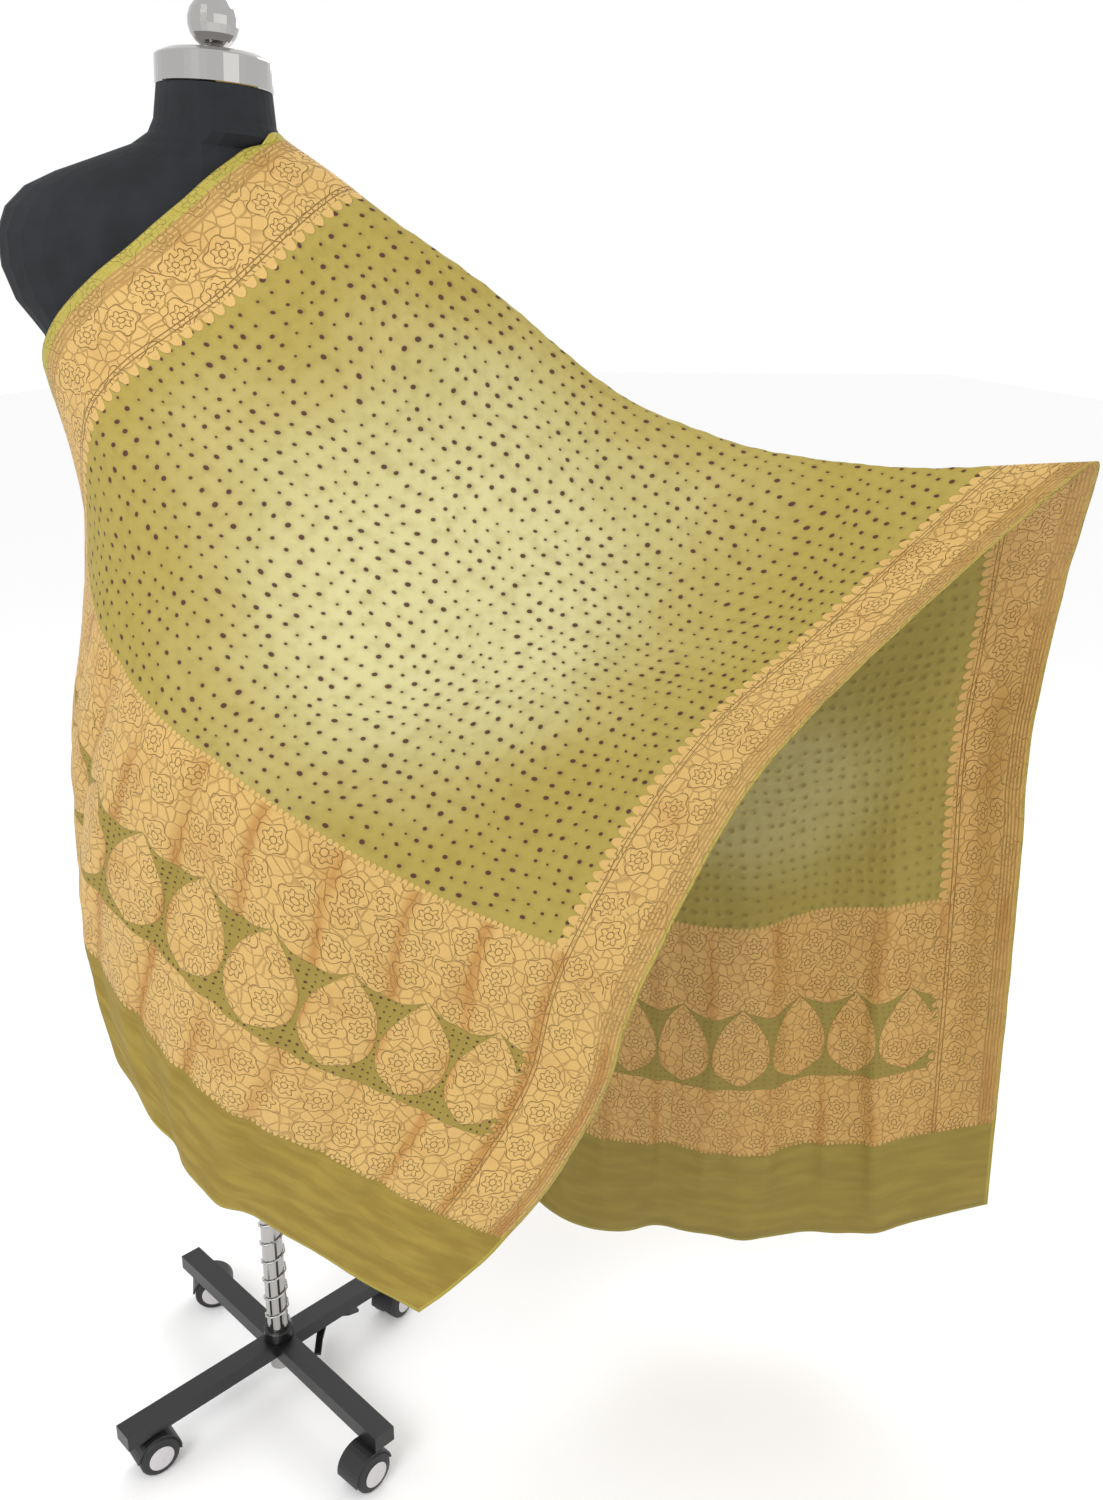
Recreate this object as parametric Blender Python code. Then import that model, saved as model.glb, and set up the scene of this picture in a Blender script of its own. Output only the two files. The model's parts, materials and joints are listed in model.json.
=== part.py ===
"""Bandhani dupatta draped over one shoulder of a dress form on a castor stand.

Metres, +Z up, front of the form toward -Y. Everything is set out about the stand's
pole (x = y = 0, floor z = 0), and put() then moves it by SHIFT, so that the origin
is the middle of the underside of the whole thing.
"""
import math
import bmesh
import bpy
import numpy as np
from mathutils import Matrix, Vector
from mathutils.bvhtree import BVHTree

SHIFT = (-0.3699, 0.0068, 0.0)    # pole's axis -> middle of the bounding box
GAP = 0.0003                      # between pieces that touch

# ---------------------------------------------------------------- the cloth
WIDTH, LENGTH = 0.915, 2.237      # selvedge to selvedge, end to end, laid flat
# Distance across the cloth of the five stations of a section:
# left selvedge, left third, middle, right third, right selvedge.
ACROSS = (0.0, 0.241, 0.457, 0.674, 0.915)
# One row per section, from the front end over the shoulder to the back end: its
# distance along the left and the right selvedge, then its five stations.
SECTIONS = (
    # name     near   far    left selvedge          left third
    #                        middle                 right third            right selvedge
    ("front end", 0.000, 0.000, (-0.195, 0.150, 0.725), (-0.155, -0.035, 0.580),
     (-0.070, -0.130, 0.445), (0.045, -0.155, 0.370), (0.210, -0.195, 0.290)),
    ("front strip", 0.150, 0.150, (-0.185, 0.150, 0.875), (-0.180, -0.020, 0.725),
     (-0.070, -0.150, 0.600), (0.120, -0.190, 0.490), (0.310, -0.190, 0.390)),
    ("front leaves", 0.320, 0.320, (-0.165, 0.100, 1.030), (-0.150, -0.075, 0.875),
     (-0.010, -0.180, 0.760), (0.195, -0.190, 0.635), (0.405, -0.150, 0.530)),
    ("front band", 0.490, 0.490, (-0.140, 0.025, 1.180), (-0.085, -0.120, 1.025),
     (0.050, -0.205, 0.925), (0.235, -0.185, 0.795), (0.455, -0.150, 0.685)),
    ("waist", 0.670, 0.730, (-0.130, -0.080, 1.320), (0.015, -0.150, 1.175),
     (0.195, -0.175, 1.050), (0.360, -0.135, 0.965), (0.570, -0.080, 0.885)),
    ("chest", 0.845, 0.970, (-0.015, -0.105, 1.420), (0.160, -0.125, 1.275),
     (0.325, -0.095, 1.160), (0.505, -0.055, 1.065), (0.735, -0.035, 1.055)),
    ("ridge", 1.020, 1.205, (0.090, -0.010, 1.510), (0.280, -0.025, 1.380),
     (0.455, 0.010, 1.255), (0.665, 0.005, 1.205), (0.915, 0.000, 1.210)),
    ("back upper", 1.265, 1.385, (0.180, 0.125, 1.350), (0.325, 0.065, 1.180),
     (0.500, 0.080, 1.055), (0.710, 0.085, 1.035), (0.935, 0.090, 1.065)),
    ("back middle", 1.505, 1.565, (0.205, 0.185, 1.125), (0.335, 0.100, 0.945),
     (0.510, 0.105, 0.835), (0.715, 0.120, 0.835), (0.895, 0.025, 0.905)),
    ("back band", 1.745, 1.745, (0.210, 0.190, 0.890), (0.345, 0.110, 0.710),
     (0.525, 0.115, 0.615), (0.725, 0.125, 0.635), (0.895, 0.005, 0.715)),
    ("back end", 2.237, 2.237, (0.230, 0.135, 0.405), (0.360, 0.070, 0.215),
     (0.530, 0.140, 0.130), (0.740, 0.125, 0.140), (0.925, 0.045, 0.255)),
)
RIDGE = 6                         # row of the ridge
RIDGE_EASE = 0.45                 # how tightly the cloth turns over the ridge
FAR_EASE = 1.5                    # how late the sections swing to their far distance
FADE = 4.0                        # a fold fades over a quarter of its length
# Soft folds: where each starts and ends across and along the cloth, its depth
# (outward is positive), its half width, and whether it fades at start and end.
FOLDS = (
    # name             across0 along0 across1 along1 depth   half   fades
    ("front pleat a", 0.300, 0.000, 0.330, 0.470, 0.010, 0.035, (False, True)),
    ("front pleat b", 0.440, 0.000, 0.470, 0.520, -0.009, 0.030, (False, True)),
    ("front pleat c", 0.575, 0.000, 0.590, 0.560, 0.008, 0.034, (False, True)),
    ("front pleat d", 0.700, 0.060, 0.690, 0.500, -0.007, 0.028, (True, True)),
    ("front border roll", 0.885, 0.150, 0.880, 0.420, 0.012, 0.040, (True, True)),
    ("pull to the corner", 0.830, 1.020, 0.905, 1.180, -0.008, 0.022, (True, True)),
    ("back pleat a", 0.420, 1.620, 0.430, 2.237, 0.012, 0.036, (True, False)),
    ("back pleat b", 0.540, 1.560, 0.555, 2.237, -0.011, 0.032, (True, False)),
    ("back pleat c", 0.650, 1.600, 0.645, 2.237, 0.010, 0.034, (True, False)),
    ("back pleat d", 0.745, 1.540, 0.750, 2.237, -0.009, 0.030, (True, False)),
    ("back border fold", 0.845, 1.330, 0.850, 2.120, 0.011, 0.026, (True, True)),
)


def slopes(x, y):
    """Slope of a smooth curve at each of its points."""
    h = np.diff(x)[:, None]
    d = np.diff(y, axis=0) / h
    m = np.empty_like(y)
    m[1:-1] = (d[:-1] * h[1:] + d[1:] * h[:-1]) / (h[1:] + h[:-1])
    m[0] = 1.5 * d[0] - 0.5 * m[1]
    m[-1] = 1.5 * d[-1] - 0.5 * m[-2]
    return m


def curve(x, y, q, m):
    """Smooth curve through the rows of y at x with slopes m, read at q."""
    i = np.clip(np.searchsorted(x, q, side="right") - 1, 0, len(x) - 2)
    h = (x[i + 1] - x[i])[:, None]
    t = (q - x[i])[:, None] / h
    start = (2 * t**3 - 3 * t**2 + 1) * y[i] + (t**3 - 2 * t**2 + t) * h * m[i]
    return start + (3 * t**2 - 2 * t**3) * y[i + 1] + (t**3 - t**2) * h * m[i + 1]


def normals_of(grid):
    """Unit normals of a grid of points, outward on both layers."""
    n = np.cross(np.gradient(grid, axis=1), np.gradient(grid, axis=0))
    return n / np.maximum(np.linalg.norm(n, axis=2, keepdims=True), 1e-9)


def cloth_grid(steps_across, steps_per_section):
    """Grid of points (along, across, xyz), with the cloth's own distances across and along."""
    stations = np.array([row[3:] for row in SECTIONS])
    ends = np.array([row[1:3] for row in SECTIONS])
    columns = np.array(ACROSS)
    count = np.arange(len(SECTIONS), dtype=float)
    u = np.linspace(0, WIDTH, steps_across + 1)
    t = np.linspace(0, count[-1], (len(count) - 1) * steps_per_section + 1)
    sections = np.stack([curve(columns, row, u, slopes(columns, row)) for row in stations])
    flat = sections.reshape(len(count), -1)
    m = slopes(count, flat)
    m[RIDGE] *= RIDGE_EASE
    grid = curve(count, flat, t, m).reshape(len(t), len(u), 3)
    # between two sections the distance along is shared out by arc length
    step = np.linalg.norm(np.diff(grid, axis=0), axis=2)
    reach = ends[:, :1] + (ends[:, 1:] - ends[:, :1]) * (u / WIDTH) ** FAR_EASE
    along = np.empty(grid.shape[:2])
    for i in range(len(count) - 1):
        a, b = i * steps_per_section, (i + 1) * steps_per_section
        arc = np.concatenate([np.zeros((1, len(u))), np.cumsum(step[a:b], axis=0)])
        along[a:b + 1] = reach[i] + (reach[i + 1] - reach[i]) * arc / arc[-1]
    return grid, np.broadcast_to(u, along.shape), along


def folded(grid, across, along):
    """The grid with its soft folds raised along its normals."""
    depth_here = np.zeros(across.shape)
    for _name, across0, along0, across1, along1, depth, half, (fade_in, fade_out) in FOLDS:
        run_u, run_s = across1 - across0, along1 - along0
        share = ((across - across0) * run_u + (along - along0) * run_s) / (run_u**2 + run_s**2)
        near = np.clip(share, 0, 1)
        off = np.hypot(across - across0 - run_u * near, along - along0 - run_s * near)
        fade = np.clip(share * FADE, 0, 1) if fade_in else 1.0
        if fade_out:
            fade = fade * np.clip((1 - share) * FADE, 0, 1)
        depth_here += depth * np.exp(-(off / half) ** 2) * fade
    return grid + normals_of(grid) * depth_here[..., None]


THICK = 0.0020                    # sheet and its tied dots
CLEAR = 0.0045                    # sheet's middle to the form, at the nearest
SEEN = 0.080                      # how far from the form the sheet is looked after
EASING = 6                        # rounds of easing the sheet off the form
SHARE = 0.6                       # part of a push that a neighbour follows
CLOTH_STEPS = (26, 6)             # across the cloth, and in each section along it

# ---------------------------------------------------------------- the dress form
LEAN = math.radians(3.0)          # the form leans toward the held corner
NECK = (0.0275, 0.0, 1.510)       # middle of the neck's base
FORM_SIDES = 36
# The form's outline at each height: half width, half depth, where its middle
# lies in y, and how square it is (2 is an ellipse).
FORM = (
    # z      wide   deep    mid y  square
    (0.803, 0.090, 0.060, 0.000, 2.0),
    (0.806, 0.108, 0.078, 0.000, 2.0),
    (0.815, 0.124, 0.092, 0.000, 2.1),
    (0.850, 0.142, 0.106, 0.000, 2.1),
    (0.910, 0.148, 0.112, 0.002, 2.1),
    (0.980, 0.138, 0.104, 0.002, 2.0),
    (1.050, 0.117, 0.092, 0.000, 2.0),
    (1.110, 0.108, 0.084, 0.000, 2.0),
    (1.170, 0.116, 0.092, -0.004, 2.0),
    (1.230, 0.134, 0.106, -0.008, 2.0),
    (1.280, 0.150, 0.110, -0.008, 2.0),
    (1.320, 0.170, 0.104, -0.004, 2.2),
    (1.350, 0.196, 0.094, -0.002, 2.4),
    (1.380, 0.209, 0.086, 0.000, 2.5),
    (1.410, 0.213, 0.080, 0.002, 2.5),
    (1.435, 0.205, 0.074, 0.004, 2.4),
    (1.455, 0.186, 0.069, 0.006, 2.3),
    (1.470, 0.156, 0.066, 0.007, 2.2),
    (1.484, 0.118, 0.063, 0.007, 2.1),
    (1.497, 0.082, 0.060, 0.005, 2.0),
    (1.508, 0.064, 0.058, 0.002, 2.0),
    (1.520, 0.0575, 0.0565, 0.000, 2.0),
    (1.5495, 0.0540, 0.0540, 0.000, 2.0),
)
SHOULDER = (1.30, 1.50)           # heights between which the covered side is narrower
PRESSED = (0.24, 0.50)            # how much narrower and thinner it gets there
CAP_R, CAP_LOW, CAP_HIGH = 0.0550, 1.5500, 1.5800
BALL_R, BALL_Z, BALL_FOOT = 0.0240, 1.6070, 0.0125

# ---------------------------------------------------------------- the stand
POLE_R, POLE_LOW, POLE_TOP = 0.0135, 0.0300, 0.7905
FLANGE_R, FLANGE_LOW, FLANGE_HIGH, FLANGE_X = 0.0390, 0.7910, 0.7960, -0.0040
COIL_TURNS, COIL_PITCH, COIL_LOW, WIRE_R = 11, 0.0285, 0.0950, 0.0012
COLLAR_R, COLLAR_LOW, COLLAR_HIGH = 0.0190, 0.0755, 0.0905
ARM, TUBE_HALF, TUBE_LOW, TUBE_HIGH = 0.2230, 0.0140, 0.0550, 0.0750
CROSS_TURN = math.radians(45.5)
LEVER_HALF = 0.0020               # half the lever's thickness
# The foot lever hangs under the back right tube: its middle line and half width.
LEVER = (
    # x      y      z      half width
    (0.046, 0.014, 0.0290, 0.0045),
    (0.045, 0.036, 0.0340, 0.0045),
    (0.047, 0.056, 0.0460, 0.0060),
    (0.055, 0.072, 0.0470, 0.0120),
    (0.067, 0.086, 0.0420, 0.0180),
    (0.081, 0.098, 0.0360, 0.0150),
)

# ---------------------------------------------------------------- the castors
WHEEL_R, WHEEL_SIDES = 0.0250, 24
AXLE_Z = WHEEL_R * math.cos(math.pi / WHEEL_SIDES)    # the lowest facet lies on the floor
TRAIL = 0.0180                    # stem's axis to the axle
AXLE_R, BORE_R = 0.0030, 0.0035
CASTORS = (
    # name         stem x   stem y   axle heading (degrees)  side of the trail
    ("front_left", -0.1425, -0.1450, -50.0, 1.0),
    ("front_right", 0.1450, -0.1425, -41.0, -1.0),
    ("back_left", -0.1450, 0.1425, -75.0, 1.0),
    ("back_right", 0.1425, 0.1450, -30.0, -1.0),
)
# Outer half of the pair of wheels: radius, distance from the middle of the axle.
WHEEL_FACE = (
    (0.0, 0.0212), (0.0160, 0.0212), (0.0164, 0.0204), (0.0190, 0.0200), (0.0235, 0.0190),
    (WHEEL_R, 0.0172), (WHEEL_R, 0.0068), (0.0238, 0.0052), (AXLE_R, 0.0052),
)
HOOD_IN, HOOD_OUT, HOOD_HALF, HOOD_POINTS = 0.0258, 0.0283, 0.0175, 16
HOOD_FROM, HOOD_TO = math.radians(-8), math.radians(172)
WEB_R, WEB_BOSS_R, WEB_HALF, WEB_SIDES = 0.0268, 0.0140, 0.0042, 36
STEM_R, STEM_LOW, STEM_FLANGE_R, STEM_FLANGE_LOW, STEM_TOP = 0.0040, 0.0400, 0.0080, 0.0486, 0.0546


# ---------------------------------------------------------------- making meshes
def colour(name, rgb, rough, metal=0.0):
    """A plain material."""
    material = bpy.data.materials.new(name)
    material.use_nodes = True
    surface = material.node_tree.nodes["Principled BSDF"]
    surface.inputs["Base Color"].default_value = (*rgb, 1)
    surface.inputs["Roughness"].default_value = rough
    surface.inputs["Metallic"].default_value = metal
    material.diffuse_color = (*rgb, 1)
    return material


def put(name, verts, faces, material):
    """A closed mesh as an object, its faces turned outward."""
    mesh = bpy.data.meshes.new(name)
    mesh.from_pydata([tuple(map(float, v)) for v in verts], [], [tuple(map(int, f)) for f in faces])
    mesh.validate()
    mesh.transform(Matrix.Translation(SHIFT))
    mesh.materials.append(material)
    work = bmesh.new()
    work.from_mesh(mesh)
    bmesh.ops.recalc_face_normals(work, faces=work.faces)
    if work.calc_volume(signed=True) < 0:
        bmesh.ops.reverse_faces(work, faces=work.faces)
    work.to_mesh(mesh)
    work.free()
    piece = bpy.data.objects.new(name, mesh)
    bpy.context.scene.collection.objects.link(piece)
    return piece


def rings(rows, closed_ends=True):
    """Loft a stack of equal rings."""
    n = len(rows[0])
    faces = []
    for i in range(len(rows) - 1):
        for j in range(n):
            k = (j + 1) % n
            faces.append((i * n + j, i * n + k, (i + 1) * n + k, (i + 1) * n + j))
    if closed_ends:
        faces.append(tuple(range(n - 1, -1, -1)))
        faces.append(tuple(range((len(rows) - 1) * n, len(rows) * n)))
    return np.concatenate(rows), faces


def turned(profile, sides, phase=0.0):
    """Solid of revolution about z from (radius, z), with poles where the radius is 0."""
    angle = (np.arange(sides) + phase) * 2 * math.pi / sides
    verts, faces, rows = [], [], []
    for r, z in profile:
        first = len(verts)
        if r == 0:
            verts.append((0, 0, z))
        else:
            verts.extend((r * math.cos(a), r * math.sin(a), z) for a in angle)
        rows.append(list(range(first, len(verts))))
    for low, high in zip(rows[:-1], rows[1:]):
        for j in range(sides):
            k = (j + 1) % sides
            if len(low) == 1:
                faces.append((low[0], high[k], high[j]))
            elif len(high) == 1:
                faces.append((low[j], low[k], high[0]))
            else:
                faces.append((low[j], low[k], high[k], high[j]))
    return np.array(verts, float), faces


def cut(piece, other, how):
    """Boolean of two pieces, kept in the first."""
    modifier = piece.modifiers.new("cut", "BOOLEAN")
    modifier.object, modifier.operation, modifier.solver = other, how, "EXACT"
    graph = bpy.context.evaluated_depsgraph_get()
    mesh = bpy.data.meshes.new_from_object(piece.evaluated_get(graph))
    piece.modifiers.clear()
    piece.data = mesh
    bpy.data.objects.remove(other, do_unlink=True)


def lean(points):
    """The form's own upright points, leaned about its neck."""
    p = np.asarray(points, float).reshape(-1, 3)
    x, z = p[:, 0], p[:, 2] - NECK[2]
    c, s = math.cos(LEAN), math.sin(LEAN)
    return np.stack([NECK[0] + x * c + z * s, p[:, 1], NECK[2] - x * s + z * c], 1)


# ---------------------------------------------------------------- the pieces
def build_form(cloth):
    """Torso, arm stumps and neck: one lofted solid. Gives its points and faces back."""
    angle = np.arange(FORM_SIDES) * 2 * math.pi / FORM_SIDES
    c, s = np.cos(angle), np.sin(angle)
    covered = np.maximum(c, 0)
    stack = []
    for z, wide, deep, mid, square in FORM:
        x = wide * np.sign(c) * np.abs(c) ** (2 / square)
        y = deep * np.sign(s) * np.abs(s) ** (2 / square)
        if SHOULDER[0] < z < SHOULDER[1]:
            x = x * (1 - PRESSED[0] * covered)
            y = y * (1 - PRESSED[1] * covered)
        stack.append(lean(np.stack([x, y + mid, np.full(FORM_SIDES, z)], 1)))
    verts, faces = rings(stack)
    put("form_torso", verts, faces, cloth)
    return verts, faces


def build_neck(chrome):
    """Plated cap over the neck, with a ball on top."""
    soft, dish, lip = 0.0010, 0.0080, 0.0094
    cap = [(0, CAP_LOW), (CAP_R - soft, CAP_LOW), (CAP_R, CAP_LOW + soft), (CAP_R, CAP_HIGH - 5.5 * soft),
           (CAP_R - 1.4 * soft, CAP_HIGH - 4 * soft), (CAP_R - dish, CAP_HIGH - soft / 2),
           (CAP_R - lip, CAP_HIGH), (0, CAP_HIGH)]
    verts, faces = turned(cap, 48)
    put("neck_cap", lean(verts), faces, chrome)
    low = CAP_HIGH + GAP
    stalk = 0.0085
    ball = [(0, low), (BALL_FOOT, low), (BALL_FOOT, low + 0.0019), (stalk, low + 0.0032), (stalk, low + 0.0047)]
    for a in np.linspace(math.radians(26), math.radians(170), 9):
        ball.append((BALL_R * math.sin(a), BALL_Z - BALL_R * math.cos(a)))
    ball.append((0, BALL_Z + BALL_R))
    verts, faces = turned(ball, 24)
    put("neck_ball", lean(verts), faces, chrome)


def build_pole(chrome, steel):
    """Pole with its flange under the form, its collar on the cross and its coil."""
    soft = 0.0010
    flange = [(0, FLANGE_LOW), (FLANGE_R - soft, FLANGE_LOW), (FLANGE_R, FLANGE_LOW + soft),
              (FLANGE_R, FLANGE_HIGH - soft), (FLANGE_R - soft, FLANGE_HIGH), (0, FLANGE_HIGH)]
    verts, faces = turned(flange, 32)
    put("form_flange", verts + (FLANGE_X, 0, 0), faces, steel)
    pole = [(0, POLE_LOW), (POLE_R - soft, POLE_LOW), (POLE_R, POLE_LOW + soft), (POLE_R, POLE_TOP)]
    pole.append((0, POLE_TOP))
    verts, faces = turned(pole, 28)
    put("pole", verts, faces, chrome)
    turns_points, wire_sides = 10, 5
    t = np.linspace(0, 2 * math.pi * COIL_TURNS, COIL_TURNS * turns_points + 1)
    coil_r = POLE_R + GAP + WIRE_R + 0.0004
    path = np.stack([coil_r * np.cos(t), coil_r * np.sin(t), COIL_LOW + COIL_PITCH * t / (2 * math.pi)], 1)
    ahead = np.gradient(path, axis=0)
    ahead /= np.linalg.norm(ahead, axis=1, keepdims=True)
    side = np.cross(ahead, (0, 0, 1.0))
    side /= np.linalg.norm(side, axis=1, keepdims=True)
    up = np.cross(ahead, side)
    a = np.arange(wire_sides)[:, None] * 2 * math.pi / wire_sides
    wire = [p + WIRE_R * (np.cos(a) * n + np.sin(a) * b) for p, n, b in zip(path, side, up)]
    verts, faces = rings(wire)
    put("pole_coil", verts, faces, chrome)
    bevel = 0.0015
    sides = 28
    collar = [(POLE_R + GAP, COLLAR_LOW), (COLLAR_R, COLLAR_LOW), (COLLAR_R, COLLAR_HIGH - bevel),
              (COLLAR_R - bevel, COLLAR_HIGH), (POLE_R + GAP, COLLAR_HIGH)]
    verts, faces = turned(collar, sides)
    last = (len(collar) - 1) * sides
    bore = [(last + j, last + (j + 1) % sides, (j + 1) % sides, j) for j in range(sides)]
    put("pole_collar", verts, faces + bore, steel)


def build_cross(steel):
    """Cross of square tube, bored for the pole."""
    a, w = ARM, TUBE_HALF
    corner = [(w, w), (w, a), (-w, a)]
    outline = []
    for _quarter in range(4):
        outline += corner
        corner = [(-y, x) for x, y in corner]
    c, s = math.cos(CROSS_TURN), math.sin(CROSS_TURN)
    ring = np.array([(x * c - y * s, x * s + y * c) for x, y in outline])
    verts, faces = rings([np.c_[ring, np.full(len(ring), z)] for z in (TUBE_LOW, TUBE_HIGH)])
    cross = put("base_cross", verts, faces, steel)
    past = 0.015
    low, high, wide = TUBE_LOW - past, TUBE_HIGH + past, POLE_R + GAP
    bore = [(0, low), (wide, low), (wide, high), (0, high)]
    verts, faces = turned(bore, 28)
    cut(cross, put("bore", verts, faces, steel), "DIFFERENCE")


def build_lever(steel):
    """Flat foot lever, swept along its middle line."""
    table = np.array(LEVER)
    ahead = np.gradient(table[:, :3], axis=0)
    ahead /= np.linalg.norm(ahead, axis=1, keepdims=True)
    side = np.cross(ahead, (0, 0, 1.0))
    side /= np.linalg.norm(side, axis=1, keepdims=True)
    up = np.cross(side, ahead) * LEVER_HALF
    side = side * table[:, 3:]
    bars = [np.array([p - a - b, p + a - b, p + a + b, p - a + b]) for p, a, b in zip(table[:, :3], side, up)]
    verts, faces = rings(bars)
    put("foot_lever", verts, faces, steel)


def build_castor(name, stem_x, stem_y, heading, way, plastic):
    """A pair of wheels on one axle, and the swivel with its hood, web and stem."""
    h = math.radians(heading)
    axle = np.array([math.cos(h), math.sin(h), 0.0])
    run = way * np.array([-math.sin(h), math.cos(h), 0.0])
    hub = np.array([stem_x, stem_y, AXLE_Z]) + run * TRAIL

    def place(points):
        """A profile's z along the axle, its x along the trail and its y up."""
        p = np.asarray(points, float)
        return hub + p[:, :1] * run + p[:, 1:2] * np.array([0, 0, 1.0]) + p[:, 2:] * axle

    wheels = [(r, -w) for r, w in WHEEL_FACE] + [(r, w) for r, w in reversed(WHEEL_FACE)]
    verts, faces = turned(wheels, WHEEL_SIDES, 0.5)
    put("castor_wheels_" + name, place(verts), faces, plastic)
    # hood: an arched shell over both wheels
    n = HOOD_POINTS
    t = np.linspace(HOOD_FROM, HOOD_TO, n)
    arc = np.stack([np.cos(t), np.sin(t)], 1)
    shell = np.concatenate([HOOD_OUT * arc, HOOD_IN * arc[::-1]])
    m = len(shell)
    verts, faces = rings([np.c_[shell, np.full(m, w)] for w in (-HOOD_HALF, HOOD_HALF)], closed_ends=False)
    faces += [(i, i + 1, m - 2 - i, m - 1 - i) for i in range(n - 1)]
    faces += [(m + m - 1 - i, m + m - 2 - i, m + i + 1, m + i) for i in range(n - 1)]
    hood = put("castor_swivel_" + name, place(verts), faces, plastic)
    # web: full under the hood, only a boss round the axle below it
    t = np.radians(np.arange(WEB_SIDES) * 360 / WEB_SIDES + 2.0)
    reach = np.where((t > 0) & (t < math.pi), WEB_R, WEB_BOSS_R)
    disc = np.stack([reach * np.cos(t), reach * np.sin(t)], 1)
    verts, faces = rings([np.c_[disc, np.full(WEB_SIDES, w)] for w in (-WEB_HALF, WEB_HALF)])
    cut(hood, put("web", place(verts), faces, plastic), "UNION")
    verts, faces = turned([(0, -0.03), (BORE_R, -0.03), (BORE_R, 0.03), (0, 0.03)], 20)
    cut(hood, put("hole", place(verts), faces, plastic), "DIFFERENCE")
    stem = [(0, STEM_LOW), (STEM_R, STEM_LOW), (STEM_R, STEM_FLANGE_LOW), (STEM_FLANGE_R, STEM_FLANGE_LOW),
            (STEM_FLANGE_R, STEM_TOP), (0, STEM_TOP)]
    verts, faces = turned(stem, 20)
    cut(hood, put("stem", verts + (stem_x, stem_y, 0), faces, plastic), "UNION")


def eased(grid, verts, faces):
    """The sheet eased off the form, each pushed point's neighbours with it."""
    tree = BVHTree.FromPolygons([tuple(p) for p in verts], faces)
    for _turn in range(EASING):
        push = np.zeros_like(grid)
        for i, j in np.ndindex(grid.shape[:2]):
            spot = Vector(grid[i, j])
            near, normal, _index, distance = tree.find_nearest(spot)
            outside = (spot - near).dot(normal)
            if outside < CLEAR and distance < SEEN:
                push[i, j] = np.array(normal) * (CLEAR - outside)
        wide = np.pad(push, ((1, 1), (1, 1), (0, 0)))
        rows, columns = push.shape[:2]
        for di in (0, 1, 2):
            for dj in (0, 1, 2):
                beside = wide[di:di + rows, dj:dj + columns] * SHARE
                more = np.linalg.norm(beside, axis=2) > np.linalg.norm(push, axis=2)
                push = np.where(more[..., None], beside, push)
        grid = grid + push
    return grid


def build_dupatta(verts, faces, cloth):
    """The cloth as one closed sheet."""
    grid = eased(folded(*cloth_grid(*CLOTH_STEPS)), verts, faces)
    half = normals_of(grid) * THICK / 2
    rows, columns = grid.shape[:2]
    n = rows * columns
    index = np.arange(n).reshape(rows, columns)
    quads = np.stack([index[:-1, :-1], index[:-1, 1:], index[1:, 1:], index[1:, :-1]], -1).reshape(-1, 4)
    sheet = list(quads) + list(quads[:, ::-1] + n)
    rim = np.concatenate([index[0], index[1:, -1], index[-1, -2::-1], index[-2:0:-1, 0]])
    sheet += [(a, a + n, b + n, b) for a, b in zip(rim, np.roll(rim, -1))]
    points = np.concatenate([(grid + half).reshape(-1, 3), (grid - half).reshape(-1, 3)])
    put("dupatta", points, sheet, cloth)


def main():
    """Build every piece, then print its triangles and the whole box."""
    for piece in list(bpy.data.objects):
        bpy.data.objects.remove(piece, do_unlink=True)
    jersey = colour("form cloth", (0.015, 0.018, 0.022), 0.9)
    chrome = colour("bright steel", (0.75, 0.75, 0.76), 0.15, 1.0)
    steel = colour("painted steel", (0.012, 0.012, 0.013), 0.4)
    plastic = colour("castor plastic", (0.02, 0.02, 0.02), 0.5)
    silk = colour("dupatta", (0.42, 0.33, 0.07), 0.8)
    form_verts, form_faces = build_form(jersey)
    build_neck(chrome)
    build_pole(chrome, steel)
    build_cross(steel)
    build_lever(steel)
    for castor in CASTORS:
        build_castor(*castor, plastic)
    build_dupatta(form_verts, form_faces, silk)
    corners = []
    total = 0
    for piece in bpy.context.scene.collection.objects:
        points = np.array([v.co for v in piece.data.vertices])
        corners += [points.min(0), points.max(0)]
        triangles = sum(len(p.vertices) - 2 for p in piece.data.polygons)
        total += triangles
        print("%-28s %6d triangles" % (piece.name, triangles))
    low, high = np.min(corners, axis=0), np.max(corners, axis=0)
    print("triangles", total, "low", low.round(4), "high", high.round(4), "middle", ((low + high) / 2).round(4))


main()
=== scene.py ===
# %% [markdown]
# # A bandhani dupatta draped on a dress form
#
# A long tie-dyed cloth lies over the form's left shoulder. Its far edge is held out, so that it falls in a
# front and a back layer. This lesson builds the cloth as one draped surface with two parameters, the distance
# across the cloth and the distance along it. The same two distances drive the dyed and woven pattern.

# %%
import json
import math

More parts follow.
